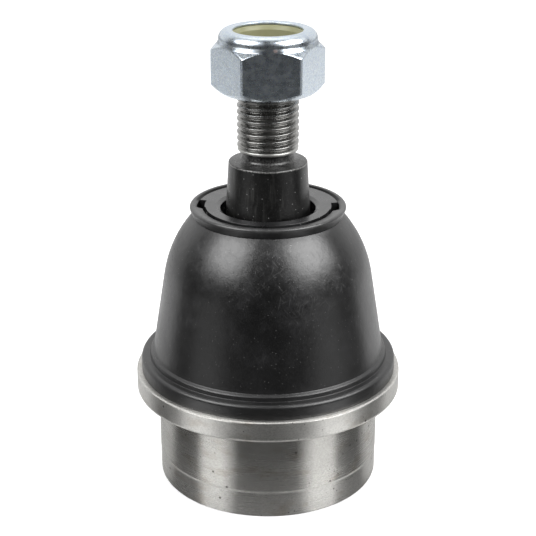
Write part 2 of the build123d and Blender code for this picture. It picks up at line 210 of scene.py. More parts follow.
def lathe(name, section, segments, closed=True, shape=None, body=None, replaces=(), sharp=SHARP):
    """Turns an outline about Z. shape(r, z, angle) may move the points. Open ends get a fan."""
    angle = np.linspace(0, 2 * math.pi, segments, endpoint=False)
    r = np.repeat(section[:, :1], segments, axis=1)
    z = np.repeat(section[:, 1:], segments, axis=1)
    angles = np.repeat(angle[None], len(section), axis=0)
    if shape:
        r, z = shape(r, z, angles)
    grid = np.stack([r * np.cos(angles), r * np.sin(angles), z], axis=-1)
    vertices = grid.reshape(-1, 3)
    rows = len(section)
    row = np.arange(rows if closed else rows - 1)[:, None] * segments
    next_row = (row + segments) % (rows * segments)
    column = np.arange(segments)[None]
    next_column = (column + 1) % segments
    faces = np.stack(
        [row + column, row + next_column, next_row + next_column, next_row + column], axis=-1
    ).reshape(-1, 4).tolist()
    if not closed:
        low, high = len(vertices), len(vertices) + 1
        ends = [[0, 0, section[0, 1]], [0, 0, section[-1, 1]]]
        vertices = np.concatenate([vertices, ends])
        last = (rows - 1) * segments
        for i in range(segments):
            following = (i + 1) % segments
            faces.append([following, i, low])
            faces.append([last + i, last + following, high])
    mesh = bpy.data.meshes.new(name)
    mesh.from_pydata((vertices * MM).tolist(), [], faces)
    mesh.shade_smooth()
    mesh.set_sharp_from_angle(angle=sharp)
    piece = bpy.data.objects.new(name, mesh)
    bpy.context.scene.collection.objects.link(piece)
    if body:
        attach(piece, body)
    if replaces:
        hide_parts(*replaces)
    return piece


def soft_min(a, b, blend):
    """The smaller of two values, rounded over where they cross."""
    near = np.maximum(blend - np.abs(a - b), 0) / blend
    return np.minimum(a, b) - near * near * blend / 4


def soft_max(a, b, blend):
    return -soft_min(-a, -b, blend)


# ---------------------------------------------------------------- nodes
def grey(level):
    return level, level, level


def material(name, color, metallic, roughness, **shader):
    """A Principled material, its tree and its shader. Other inputs go by name, as in ior=1.6."""
    made = bpy.data.materials.new(name)
    made.use_nodes = True
    bsdf = made.node_tree.nodes["Principled BSDF"]
    bsdf.inputs["Base Color"].default_value = (*color, 1)
    bsdf.inputs["Metallic"].default_value = metallic
    bsdf.inputs["Roughness"].default_value = roughness
    for socket, value in shader.items():
        bsdf.inputs[socket.replace("_", " ").title().replace("Ior", "IOR")].default_value = value
    return made, made.node_tree, bsdf


def add(tree, kind, inputs=(), **settings):
    """A shader node with its settings, and its sockets set or linked."""
    made = tree.nodes.new("ShaderNode" + kind)
    for name, value in settings.items():
        setattr(made, name, value)
    for key, value in dict(inputs).items():
        if isinstance(value, bpy.types.NodeSocket):
            tree.links.new(value, made.inputs[key])
        else:
            made.inputs[key].default_value = value
    return made


def maths(tree, operation, a, b=0.0):
    return add(tree, "Math", {0: a, 1: b}, operation=operation).outputs[0]


def times(tree, a, b):
    return maths(tree, "MULTIPLY", a, b)


def plus(tree, a, b):
    return maths(tree, "ADD", a, b)


def larger(tree, a, b):
    return maths(tree, "MAXIMUM", a, b)


def ramp(tree, value, low, high, out_low=0.0, out_high=1.0):
    """Takes low..high to out_low..out_high, and holds the ends."""
    inputs = {0: value, 1: low, 2: high, 3: out_low, 4: out_high}
    return add(tree, "MapRange", inputs).outputs[0]


def levels(tree, value, stops):
    """A grey that follows (value, level) stops, for values from -1 to 1."""
    made = add(tree, "ValToRGB", {"Fac": ramp(tree, value, -1, 1)})
    elements = made.color_ramp.elements
    while len(elements) < len(stops):
        elements.new(0.5)
    for element, (at, level) in zip(elements, stops):
        element.position = (at + 1) / 2
        element.color = (level, level, level, 1)
    return made.outputs["Color"]


def mix_color(tree, factor, a, b):
    """A colour between a and b. Each may be a colour or a socket."""
    made = tree.nodes.new("ShaderNodeMix")
    made.data_type = "RGBA"
    sockets = {"Factor_Float": factor, "A_Color": a, "B_Color": b}
    for identifier, value in sockets.items():
        socket = next(s for s in made.inputs if s.identifier == identifier)
        if isinstance(value, bpy.types.NodeSocket):
            tree.links.new(value, socket)
        elif isinstance(value, tuple):
            socket.default_value = (*value, 1)
        else:
            socket.default_value = value
    return next(s for s in made.outputs if s.identifier == "Result_Color")


def bump(tree, bsdf, height, distance, strength=1.0, normal=None):
    """Raises the surface by up to distance in metres, on top of an earlier bump's normal."""
    inputs = {"Height": height, "Distance": distance, "Strength": strength}
    if normal:
        inputs["Normal"] = normal
    made = add(tree, "Bump", inputs).outputs["Normal"]
    tree.links.new(made, bsdf.inputs["Normal"])
    return made


# ---------------------------------------------------------------- patterns and masks
def rest_point(tree):
    """The point in the row frame, in metres."""
    return add(tree, "TexCoord").outputs["Object"]


def stretched(tree, x, y, z):
    """The point with its axes scaled, for grain that runs one way."""
    scale = {"Vector": rest_point(tree), "Scale": (x, y, z)}
    return add(tree, "Mapping", scale).outputs["Vector"]


def noise(tree, vector, scale=1.0, detail=3.0, roughness=0.55):
    """Noise of about 0.2 to 0.8, with its scale in waves a metre."""
    inputs = {"Vector": vector, "Scale": scale, "Detail": detail, "Roughness": roughness}
    return add(tree, "TexNoise", inputs).outputs["Fac"]


def axis_distance(tree):
    """How far a point is from the stud's axis."""
    flat = add(tree, "VectorMath", {0: rest_point(tree), 1: (1, 1, 0)}, operation="MULTIPLY")
    return add(tree, "VectorMath", {0: flat.outputs["Vector"]}, operation="LENGTH").outputs["Value"]


def specks(tree, per_metre, size, share):
    """1 in small round specks: one in the given share of cells, size as a part of a cell."""
    cell = {"Vector": rest_point(tree), "Scale": per_metre, "Randomness": 1.0}
    cells = add(tree, "TexVoronoi", cell, feature="F1")
    dot = ramp(tree, cells.outputs["Distance"], size, size * 0.6)
    lot = add(tree, "SeparateColor", {"Color": cells.outputs["Color"]}).outputs["Red"]
    return times(tree, dot, maths(tree, "LESS_THAN", lot, share))


def scratches(tree, turn, share=0.66):
    """1 along short straight scratches, turned this many degrees from level as seen from -Y."""
    spin = {"Vector": rest_point(tree), "Rotation": (0, math.radians(turn), 0)}
    level = add(tree, "Mapping", spin).outputs["Vector"]
    drawn = add(tree, "Mapping", {"Vector": level, "Scale": (320, 500, 3600)}).outputs["Vector"]
    return ramp(tree, noise(tree, drawn, detail=1), share, share + 0.05)


def near_heights(tree, bands):
    """1 at the height of each (height, half_width) band, fading to 0 at its edges, in mm."""
    z = add(tree, "SeparateXYZ", {"Vector": rest_point(tree)}).outputs["Z"]
    near = 0.0
    for height, half_width in bands:
        off = maths(tree, "ABSOLUTE", maths(tree, "SUBTRACT", z, height * MM))
        near = larger(tree, ramp(tree, off, half_width * MM, half_width * MM / 2), near)
    return near


def spots(tree, places, rough_edge=0.3):
    """1 in the spots given as (x, y, z, radius) in mm, with uneven edges."""
    wobble = noise(tree, rest_point(tree), 1800, detail=2)
    found = 0.0
    for x, y, z, radius in places:
        point = {0: rest_point(tree), 1: (x * MM, y * MM, z * MM)}
        off = add(tree, "VectorMath", point, operation="DISTANCE").outputs["Value"]
        off = plus(tree, off, times(tree, wobble, radius * rough_edge * MM))
        found = larger(tree, ramp(tree, off, radius * MM, radius * 0.7 * MM), found)
    return found


# ---------------------------------------------------------------- materials
def turned_steel(name, color, roughness, anisotropic=1.0, pitting=0.05, worn=(), pits=()):
    """Lathe-turned steel: fine lines round the axis, grain, stains and a few pits.

    worn lists bands of height that are rubbed dull, and pits lists single spots.
    """
    made, tree, bsdf = material(
        name, color, 1.0, roughness, anisotropic=anisotropic, anisotropic_rotation=0.25
    )
    tangent = add(tree, "Tangent", direction_type="RADIAL", axis="Z").outputs["Tangent"]
    tree.links.new(tangent, bsdf.inputs["Tangent"])
    lines = noise(tree, stretched(tree, 40, 40, 8000), detail=2)
    grain = noise(tree, stretched(tree, 2400, 2400, 3600), detail=2)
    clouds = noise(tree, stretched(tree, 70, 70, 130), detail=4)
    stain = noise(tree, stretched(tree, 150, 150, 300), detail=5)
    light, dark, shaded = (tuple(c * share for c in color) for share in (1.08, 0.86, 0.52))
    brown, pit_color = (0.36, 0.29, 0.21), (0.06, 0.05, 0.045)
    tone = mix_color(tree, ramp(tree, clouds, 0.3, 0.7), dark, light)
    tone = mix_color(tree, ramp(tree, stain, 0.54, 0.70, 0.0, 0.45), tone, brown)
    tone = mix_color(tree, ramp(tree, grain, 0.35, 0.75, 0.0, 0.55), tone, shaded)
    tone = mix_color(tree, ramp(tree, lines, 0.30, 0.70, 0.0, 0.10), tone, dark)
    pit_share = pitting * 0.2
    pitted = larger(tree, specks(tree, 640, 0.22, pit_share), specks(tree, 1500, 0.26, pit_share))
    pitted = larger(tree, pitted, spots(tree, pits))
    tone = mix_color(tree, times(tree, pitted, 0.8), tone, pit_color)
    tree.links.new(tone, bsdf.inputs["Base Color"])
    cloudy = ramp(tree, clouds, 0.3, 0.7, roughness - 0.02, roughness + 0.02)
    rough = plus(tree, cloudy, ramp(tree, lines, 0.3, 0.7, -0.02, 0.02))
    if worn:
        burred = times(tree, near_heights(tree, worn), ramp(tree, stain, 0.35, 0.6, 0.35, 0.7))
        rough = plus(tree, rough, burred)
        tree.links.new(maths(tree, "SUBTRACT", 1.0, burred), bsdf.inputs["Metallic"])
    tree.links.new(rough, bsdf.inputs["Roughness"])
    bump(tree, bsdf, lines, 0.5 * MICRON)
    return made


def rubber_scratches(tree, height):
    """1 along hairline scratches in patches, fainter towards the skirt."""
    patches = noise(tree, rest_point(tree), 60, detail=3)
    marks = larger(tree, scratches(tree, 35), scratches(tree, -50))
    marks = larger(tree, marks, scratches(tree, 80, 0.67))
    marks = times(tree, marks, ramp(tree, patches, 0.42, 0.58))
    return times(tree, marks, ramp(tree, height, 36 * MM, 50 * MM, 0.2, 1.0))


def lip_slope_painted_shade(tree, depth):
    """1 on the slope of the lip behind the ring, where shade is painted on as a near-black colour.
    """
    inside = ramp(tree, axis_distance(tree), (LIP_CROWN_R + 0.1) * MM, (LIP_CROWN_R - 0.2) * MM)
    painted_lip_shade = times(tree, near_heights(tree, [(BOOT_TOP - 0.5, 0.6)]), inside)
    return times(tree, painted_lip_shade, ramp(tree, depth, 2.5 * MM, 3.5 * MM))


def boot_rubber():
    """Satin black rubber with a mottled bloom, hairline scratches, smudges and dust, and painted
    shade on the lip's slope behind the ring.
    """
    made, tree, bsdf = material(
        "boot_rubber", (0.006, 0.006, 0.0063), 0, 0.36, specular_ior_level=1.0
    )
    place = add(tree, "SeparateXYZ", {"Vector": rest_point(tree)}).outputs
    bloom = noise(tree, rest_point(tree), 120, detail=4, roughness=0.6)
    mottle = noise(tree, rest_point(tree), 900, detail=3, roughness=0.6)
    dents = noise(tree, rest_point(tree), 140, detail=2)
    grain = noise(tree, rest_point(tree), 3000, detail=2)
    marks = rubber_scratches(tree, place["Z"])
    painted_lip_shade = lip_slope_painted_shade(tree, place["Y"])
    fine_dust = times(tree, specks(tree, 1300, 0.18, 0.30), 0.30)
    dust = larger(tree, specks(tree, 420, 0.070, 0.14), fine_dust)
    film = times(tree, ramp(tree, bloom, 0.45, 0.80), ramp(tree, mottle, 0.3, 0.7, 0.3, 1.0))
    # The film grows towards the top, so the rubber is lighter high up and darker low down.
    film = times(tree, film, ramp(tree, place["Z"], 34 * MM, 50 * MM, 0.2, 1.1))
    on_lip = near_heights(tree, [(BOOT_TOP, 1.0)])
    dusty_lip = times(tree, on_lip, ramp(tree, mottle, 0.3, 0.7, 0.4, 1.0))
    tone = mix_color(tree, film, (0.0020, 0.0020, 0.0022), (0.030, 0.030, 0.032))
    tone = mix_color(tree, dusty_lip, tone, grey(0.05))
    # Painted shade: the lip's slope behind the ring is made near black.
    tone = mix_color(tree, painted_lip_shade, tone, grey(0.012))
    tone = mix_color(tree, times(tree, marks, 0.12), tone, grey(0.14))
    tone = mix_color(tree, dust, tone, (0.24, 0.24, 0.235))
    tree.links.new(tone, bsdf.inputs["Base Color"])
    # Painted shade: a high metallic share with the near-black colour darkens that slope's
    # reflections too.
    tree.links.new(times(tree, painted_lip_shade, 0.9), bsdf.inputs["Metallic"])
    ridge_z = FLANGE_TOP + RIDGE_H
    rounded = near_heights(tree, [(ridge_z, 1.0), (ridge_z + BEAD_H, 1.0), (BOOT_TOP - 1.6, 1.8)])
    rough = plus(tree, ramp(tree, bloom, 0.3, 0.75, 0.29, 0.38),
                 ramp(tree, mottle, 0.25, 0.75, -0.03, 0.04))
    rough = plus(tree, rough, times(tree, marks, 0.14))
    rough = plus(tree, rough, times(tree, rounded, 0.06))
    tree.links.new(rough, bsdf.inputs["Roughness"])
    soft = bump(tree, bsdf, dents, 120 * MICRON, 0.7)
    uneven = bump(tree, bsdf, mottle, 40 * MICRON, 0.7, normal=soft)
    bump(tree, bsdf, grain, 14 * MICRON, 0.7, normal=uneven)
    return made


def black_polymer():
    """Satin black moulded polymer of the neck ring."""
    made, tree, bsdf = material(
        "neck_polymer", (0.012, 0.012, 0.0125), 0, 0.28, ior=1.6, specular_ior_level=1.0
    )
    grain = noise(tree, rest_point(tree), 2200, detail=4)
    clouds = noise(tree, rest_point(tree), 260, detail=4)
    tone = mix_color(tree, clouds, (0.008, 0.008, 0.0085), (0.018, 0.018, 0.019))
    tone = mix_color(tree, specks(tree, 700, 0.10, 0.08), tone, grey(0.25))
    tree.links.new(tone, bsdf.inputs["Base Color"])
    tree.links.new(ramp(tree, clouds, 0.3, 0.7, 0.22, 0.36), bsdf.inputs["Roughness"])
    bump(tree, bsdf, grain, 20 * MICRON, 0.8)
    return made


def phosphated_taper():
    """Black phosphate over turned steel: speckled, streaked and rubbed bright along its edge."""
    made, tree, bsdf = material("phosphate", grey(0.012), 0.3, 0.4, specular_ior_level=0.9)
    clouds = noise(tree, rest_point(tree), 240, detail=6, roughness=0.7)
    speckle = noise(tree, rest_point(tree), 2600, detail=2)
    streaks = noise(tree, stretched(tree, 1500, 1500, 90), detail=2)
    patches = noise(tree, rest_point(tree), 130, detail=2)
    scuffs = times(tree, ramp(tree, streaks, 0.54, 0.68), ramp(tree, patches, 0.40, 0.58))
    edge = times(tree, near_heights(tree, [(TAPER_TOP - 0.24, 0.20)]),
                 ramp(tree, speckle, 0.35, 0.6, 0.15, 1.0))
    bare = times(tree, near_heights(tree, [(TAPER_TOP + 0.9, 1.2)]),
                 ramp(tree, speckle, 0.42, 0.60))
    dust = larger(tree, specks(tree, 560, 0.085, 0.40), specks(tree, 1500, 0.19, 0.22))
    tone = mix_color(tree, ramp(tree, clouds, 0.3, 0.75), grey(0.002), (0.011, 0.011, 0.0105))
    tone = mix_color(tree, ramp(tree, speckle, 0.52, 0.75, 0.0, 0.5), tone, (0.05, 0.05, 0.049))
    tone = mix_color(tree, times(tree, scuffs, 0.30), tone, (0.12, 0.12, 0.115))
    tone = mix_color(tree, bare, tone, (0.090, 0.090, 0.088))
    tone = mix_color(tree, times(tree, edge, 0.7), tone, (0.34, 0.34, 0.33))
    tone = mix_color(tree, dust, tone, grey(0.36))
    tree.links.new(tone, bsdf.inputs["Base Color"])
    tree.links.new(ramp(tree, clouds, 0.3, 0.7, 0.26, 0.40), bsdf.inputs["Roughness"])
    bump(tree, bsdf, speckle, 10 * MICRON, 0.8)
    return made


def worn_thread():
    """Phosphated rolled thread, rubbed bright on its crests, with the collar below it lighter:
    partly rubbed bare, partly a painted highlight.
    """
    made, tree, bsdf = material("worn_thread", (0.28, 0.28, 0.27), 1.0, 0.26)
    clouds = noise(tree, rest_point(tree), 420, detail=4)
    lines = noise(tree, stretched(tree, 60, 60, 2600), detail=3)
    foot_wear_and_highlight = near_heights(tree, [(THREAD_START - 0.15, 0.45)])
    tone = mix_color(tree, ramp(tree, clouds, 0.3, 0.7), (0.25, 0.25, 0.245), (0.40, 0.395, 0.38))
    tone = mix_color(tree, ramp(tree, lines, 0.5, 0.8, 0.0, 0.12), tone, grey(0.10))
    # The collar's lighter colour is partly wear and partly a painted highlight on its upper edge.
    tone = mix_color(tree, foot_wear_and_highlight, tone, (0.56, 0.56, 0.54))
    tree.links.new(tone, bsdf.inputs["Base Color"])
    rough = plus(tree, ramp(tree, clouds, 0.3, 0.7, 0.22, 0.32), times(tree, foot_wear_and_highlight, 0.16))
    tree.links.new(rough, bsdf.inputs["Roughness"])
    bump(tree, bsdf, lines, MICRON, 0.6)
    return made


def zinc_plate():
    """Blue-white zinc on a cold-formed nut: crystalline grain, handling marks and a rust spot."""
    made, tree, bsdf = material("zinc_plate", (0.70, 0.75, 0.77), 1.0, 0.22)
    grain = noise(tree, rest_point(tree), 2300, detail=3, roughness=0.7)
    mottle = noise(tree, rest_point(tree), 700, detail=4)
    marks = noise(tree, stretched(tree, 300, 300, 1800), detail=2)
    rust = spots(tree, [(1.6, -COLLAR_R, HEX_TOP + 0.5, 0.9)], rough_edge=0.8)
    rolled = near_heights(tree, [(HEX_TOP + 3.1, 0.8)])
    tone = mix_color(tree, ramp(tree, mottle, 0.3, 0.7), (0.65, 0.73, 0.76), (0.76, 0.81, 0.83))
    tone = mix_color(tree, ramp(tree, grain, 0.40, 0.62, 0.0, 0.45), tone, (0.36, 0.44, 0.66))
    tone = mix_color(tree, times(tree, rust, 0.7), tone, (0.32, 0.20, 0.16))
    tree.links.new(tone, bsdf.inputs["Base Color"])
    rough = plus(tree, ramp(tree, mottle, 0.3, 0.7, 0.21, 0.31),
                 ramp(tree, marks, 0.4, 0.7, 0.0, 0.05))
    rough = plus(tree, rough, times(tree, rolled, 0.10))
    rough = plus(tree, rough, times(tree, rust, 0.2))
    tree.links.new(rough, bsdf.inputs["Roughness"])
    soft = bump(tree, bsdf, mottle, 10 * MICRON, 0.6)
    bump(tree, bsdf, grain, 10 * MICRON, 0.9, normal=soft)
    return made


def nylon():
    """Olive locking nylon, slightly translucent."""
    made, tree, bsdf = material(
        "nylon", (0.30, 0.29, 0.17), 0, 0.38,
        subsurface_weight=0.2, subsurface_radius=(1.0, 1.0, 0.6), subsurface_scale=MM,
    )
    clouds = noise(tree, rest_point(tree), 300, detail=3)
    tone = mix_color(tree, clouds, (0.26, 0.255, 0.14), (0.34, 0.335, 0.20))
    tree.links.new(tone, bsdf.inputs["Base Color"])
    bump(tree, bsdf, noise(tree, stretched(tree, 200, 200, 3000)), 20 * MICRON, 0.5)
    return made


def acetal():
    """Natural acetal of the bearing cups: cream, with a faint moulded mottle."""
    made, tree, bsdf = material("acetal", (0.80, 0.78, 0.72), 0, 0.35)
    clouds = noise(tree, rest_point(tree), 220, detail=4)
    tone = mix_color(tree, clouds, (0.76, 0.74, 0.67), (0.84, 0.82, 0.76))
    tree.links.new(tone, bsdf.inputs["Base Color"])
    tree.links.new(ramp(tree, clouds, 0.3, 0.7, 0.30, 0.40), bsdf.inputs["Roughness"])
    bump(tree, bsdf, noise(tree, stretched(tree, 150, 150, 2500)), 10 * MICRON, 0.5)
    return made


# ---------------------------------------------------------------- pieces
def make_housing():
    """Press-fit cylinder, flange and boot neck, hollow for the bearing and the cover plate."""
    ball_seat = [
        (SOCKET_R * math.sin(a), BALL_Z + SOCKET_R * math.cos(a))
        for a in np.linspace(MOUTH_ANGLE, math.pi / 2, 10)
    ]
    mouth_r, mouth_z = ball_seat[0]
    corners = [
        (ROLLED_LIP_R, 0, 0.35),
        (LAND_R, 0, 0.65),
        (LAND_R, LAND_TOP),
        (PRESS_R, LAND_TOP + 0.18),
        (PRESS_R, FLANGE_LOW - 0.25),
        (PRESS_R - UNDERCUT, FLANGE_LOW - 0.12),
        (PRESS_R - UNDERCUT, FLANGE_LOW),
        (FLANGE_R, FLANGE_LOW, 0.5),
        (FLANGE_R, FLANGE_TOP, 0.5),
        (BOOT_NECK_R, FLANGE_TOP),
        (BOOT_NECK_R, NECK_TOP, 0.5),
        (mouth_r + NECK_TOP - mouth_z, NECK_TOP),
        *ball_seat,
        (SOCKET_R, SEAT_BORE_TOP),
        (SEAT_BORE_R, SEAT_BORE_TOP),
        (SEAT_BORE_R, COVER_TOP),
        (COVER_R, COVER_TOP),
        (COVER_R, COVER_LOW),
        (ROLLED_LIP_R, COVER_LOW),
    ]
    return lathe(
        "housing_body", outline(corners), segments=440, body="housing", replaces=["housing"]
    )


def dome_r(z):
    """Radius of the boot's drafted wall at this height."""
    return DOME_FOOT_R - (z - FLANGE_TOP - DOME_FOOT_H) * math.tan(DRAFT)


def shoulder(radius, end_z):
    """The arc from the top of the drafted wall up to end_z. A smaller radius is nearer the axis."""
    bend_z = BOOT_TOP - BEND_DROP
    centre_r = dome_r(bend_z) - SHOULDER_R * math.cos(DRAFT)
    centre_z = bend_z - SHOULDER_R * math.sin(DRAFT)
    end = math.asin((end_z - centre_z) / radius)
    return [
        (centre_r + radius * math.cos(a), centre_z + radius * math.sin(a))
        for a in np.linspace(DRAFT, end, 40)
    ]


def boot_outline():
    """Outer and inner walls of the boot, both from the foot up, in mm."""
    ridge_z = FLANGE_TOP + RIDGE_H
    bead_z = ridge_z + BEAD_H
    seal_r = TAPER_R + (TAPER_TOP - RECESS_LOW) * TAPER_SLOPE + 0.35
    outer = outline([
        (SKIRT_R, FLANGE_TOP),
        (SKIRT_R, ridge_z, 0.9),
        (GROOVE_R, ridge_z, 0.15),
        (GROOVE_R - 0.25, bead_z - 0.5, 0.5),
        (dome_r(bead_z) + 0.02, bead_z - 0.05, 0.2),
        *shoulder(SHOULDER_R, BOOT_TOP - LIP_ROOT_DROP),
        (LIP_R + 0.15, BOOT_TOP, 0.5),
        (LIP_CROWN_R, BOOT_TOP, 0.8),
        (SHELF_R, SHELF_TOP, 0.06),
        (SHELF_R, SHELF_LOW, 0.1),
        (RECESS_R, SHELF_LOW - 0.15),
        (RECESS_R, RECESS_LOW),
        (seal_r, RECESS_LOW),
    ], closed=False, step=0.4)
    pocket_z = FLANGE_TOP + BASE_POCKET_H
    wall_z = SLEEVE_TOP + 0.7
    inner = outline([
        (BASE_POCKET_R, FLANGE_TOP),
        (BASE_POCKET_R, pocket_z),
        (SLEEVE_R, pocket_z),
        (SLEEVE_R, SLEEVE_TOP),
        (dome_r(wall_z) - BOOT_WALL / math.cos(DRAFT), wall_z),
        *shoulder(SHOULDER_R - BOOT_WALL, RECESS_LOW - BOOT_WALL),
        (seal_r, RECESS_LOW - BOOT_WALL),
    ], closed=False, step=0.8)
    return outer, inner


def cut_outline(points, z, keep_below):
    """The part of a rising outline below or above z, with a point exactly at z."""
    at = int(np.argmax(points[:, 1] >= z))
    share = (z - points[at - 1, 1]) / (points[at, 1] - points[at - 1, 1])
    cut = points[at - 1] + (points[at] - points[at - 1]) * share
    return np.vstack([points[:at], cut]) if keep_below else np.vstack([cut, points[at:]])


def in_front(r, angle):
    """Where a point lies on the front side of both notches."""
    return r * np.sin(angle - NOTCH_TURN) < -NOTCH_HALF_W


def make_boot():
    """The boot's lower and upper halves, which meet at BOOT_SEAM."""
    outer, inner = boot_outline()

    def shelved(r, z, angle):
        """Behind the notches the lip ends at the ring's recess, and slopes down to it."""
        behind = (z > SHELF_LOW - 0.2) & ~in_front(RING_R, angle)
        sloped = BOOT_TOP - (LIP_CROWN_R - 0.1 - np.maximum(r, RECESS_R)) * LIP_SLOPE
        z = np.where(behind & (r < LIP_CROWN_R), np.minimum(z, sloped), z)
        return np.where(behind & (r < RECESS_R), RECESS_R, r), z

    halves = []
    for name, below in (("boot_lower", True), ("boot_upper", False)):
        out = cut_outline(outer, BOOT_SEAM, below)
        back = cut_outline(inner, BOOT_SEAM, below)[::-1]
        shape = None if below else shelved
        halves.append(lathe(name, np.vstack([out, back]), segments=440, shape=shape))
    return halves


def drawn_in(r, limit):
    """Squeezes what lies between SQUEEZE_R and the ring's rim into SQUEEZE_R to limit."""
    share = (limit - SQUEEZE_R) / (RING_R - SQUEEZE_R)
    return np.where(r > SQUEEZE_R, SQUEEZE_R + (r - SQUEEZE_R) * share, r)


def make_neck_ring():
    """Ring with a notch in its rim at each side, and a rebate between them in front."""
    rebate_z, notch_z = RING_TOP - REBATE_H, RING_TOP - NOTCH_H
    step = 0.03          # two rows this far apart on the rim make the foot of each cut
    section = outline([
        (RING_BORE_R, RING_LOW),
        (RING_R, RING_LOW, 0.2),
        (RING_R, notch_z),
        (RING_R, notch_z + step),
        (RING_R, rebate_z),
        (RING_R, rebate_z + step),
        (RING_R, RING_TOP, 0.08),
        (RING_BORE_R + 0.9, RING_TOP, 0.3),
        (RING_BORE_R, RING_TOP - 0.5, 0.3),
    ], step=0.25)

    def cut(r, z, angle):
        in_notch = np.abs(RING_R * np.sin(angle - NOTCH_TURN)) < NOTCH_HALF_W
        in_rebate = in_front(RING_R, angle) & (z > rebate_z + step / 2)
        r = np.where(in_notch & (z > notch_z + step / 2), drawn_in(r, NOTCH_R), r)
        return np.where(in_rebate, drawn_in(r, REBATE_R), r), z

    return lathe(
        "neck_ring", section, segments=720, shape=cut, body="neck", replaces=["boot_neck_ring"]
    )


def helix_rise(angle):
    """The height that the thread gains from the stud's front to this angle."""
    return THREAD_PITCH * (angle + math.pi / 2) / (2 * math.pi)


def thread_radius(z, angle):
    """Radius of the right-hand M14 x 1.5 thread at this height and angle."""
    phase = (z - CREST_Z - helix_rise(angle)) / THREAD_PITCH
    off_crest = np.abs(phase - np.round(phase)) * THREAD_PITCH
    flank = THREAD_R - (off_crest - THREAD_FLAT) * math.sqrt(3)
    crested = soft_min(flank, THREAD_R, THREAD_ROUNDING)
    return soft_max(crested, THREAD_R - THREAD_DEPTH, THREAD_ROUNDING)


def make_stud():
    """Ball, neck, taper, relief groove and thread, with a centre hole in the end."""
    ball = [
        (BALL_R * math.sin(a), BALL_Z + BALL_R * math.cos(a))
        for a in np.radians(np.linspace(161, 33, 44))
    ]
    lower = outline([
        (0.4, BALL_LOW),  # fans close the last of both ends
        *ball,
        (STUD_NECK_R, BALL_Z + 13.2, 0.4),
        (STUD_NECK_R, 40.0, 12),  # the neck flares out to the shank
        (10.4, 52.5, 8),
        (TAPER_R + (TAPER_TOP - SHANK_LOW) * TAPER_SLOPE, SHANK_LOW),
        (TAPER_R, TAPER_TOP, 0.35),
        (RELIEF_R, TAPER_TOP + 0.45, 0.9),
        (RELIEF_R, THREAD_LOW - 0.1, 0.2),
        (6.3, THREAD_LOW, 0.15),
        (THREAD_FOOT_R, THREAD_LOW + 0.35, 0.3),
        (THREAD_FOOT_R, THREAD_START),
    ], closed=False, step=0.7)
    row_gap = THREAD_PITCH / 30
    thread_z = np.arange(THREAD_START, STUD_TOP, row_gap)[1:]
    thread = np.column_stack([np.full_like(thread_z, THREAD_R), thread_z])
    tip = outline([
        (TIP_R, STUD_TOP),
        (CENTRE_HOLE_R, STUD_TOP, 0.1),
        (0.3, STUD_TOP - CENTRE_HOLE_DEPTH),
    ], closed=False, step=0.5)
    section = np.vstack([lower, thread, tip])

    def threaded(r, z, angle):
        """Cuts the thread. Its rows are shifted to follow the helix, so that it shades smoothly."""
        in_thread = (z > THREAD_START) & (z < STUD_TOP) & (r > THREAD_R - 1e-6)
        shifted = z + (helix_rise(angle) + row_gap / 2) % row_gap - row_gap / 2
        z = np.where(in_thread, np.minimum(shifted, STUD_TOP - 0.01), z)
        run_out = THREAD_FOOT_R - (z - THREAD_START) * 1.5
        lead_out = TIP_R + (STUD_TOP - z)
        cut = soft_min(soft_max(thread_radius(z, angle), run_out, 0.1), lead_out, 0.1)
        return np.where(in_thread, cut, r), z

    return lathe(
        "stud_forging", section, segments=150, closed=False, shape=threaded, body="stud",
        replaces=["ball_stud"], sharp=math.radians(80),
    )


def hexagon_radius(angle):
    """Distance from the axis to the hexagon. Its flats are NUT_TURN off -Y, its corners broken."""
    step = math.pi / 3
    local = (angle - NUT_TURN + math.pi / 2) / step
    off_flat = (local - np.round(local)) * step
    nearest = np.cos(off_flat)
    beside = np.cos(step - np.abs(off_flat))
    return HEX_R / soft_max(nearest, beside, 0.035)


def make_nut():
    """Chamfered hexagon and rolled collar, turned as a round blank and then cut to shape."""
    insert_low, insert_top = INSERT_LOW - INSERT_GAP, INSERT_TOP + INSERT_GAP
    section = outline([
        (NUT_BORE_R + NUT_LEAD_IN, NUT_LOW, 0.1),
        (NUT_FACE_R, NUT_LOW, 0.15),
        (NUT_BLANK_R, NUT_LOW + NUT_FOOT_H, 0.2),
        (NUT_BLANK_R, HEX_TOP - HEX_CHAMFER_H, 0.2),
        (COLLAR_R + 0.3, HEX_TOP, 0.6),
        (COLLAR_R, HEX_TOP + 0.9, 0.6),
        (COLLAR_R, NUT_TOP, 2.0),
        (8.0, NUT_TOP - 0.15, 0.5),
        (COLLAR_BORE_R, NUT_TOP - 0.35, 0.15),
        (COLLAR_BORE_R, insert_top, 0.1),
        (INSERT_R + INSERT_GAP, insert_top),
        (INSERT_R + INSERT_GAP, insert_low),
        (NUT_BORE_R, insert_low),
    ], step=0.12)

    def shaped(r, z, angle):
        """Cuts the hexagon's flats, and the thread in the bore."""
        outside = (r > HEX_R - 0.6) & (z < HEX_TOP + 0.85)
        r = np.where(outside, soft_min(r, hexagon_radius(angle), 0.25), r)
        in_bore = (r < NUT_BORE_R + 0.3) & (z < INSERT_LOW - 0.05)
        thread = np.maximum(thread_radius(z, angle), THREAD_R - THREAD_DEPTH) + THREAD_GAP
        mouth = NUT_BORE_R + NUT_LEAD_IN - (z - NUT_LOW)
        return np.where(in_bore, np.maximum(thread, mouth), r), z

    return lathe(
        "nut_forging", section, segments=480, shape=shaped, body="nut", replaces=["lock_nut"]
    )


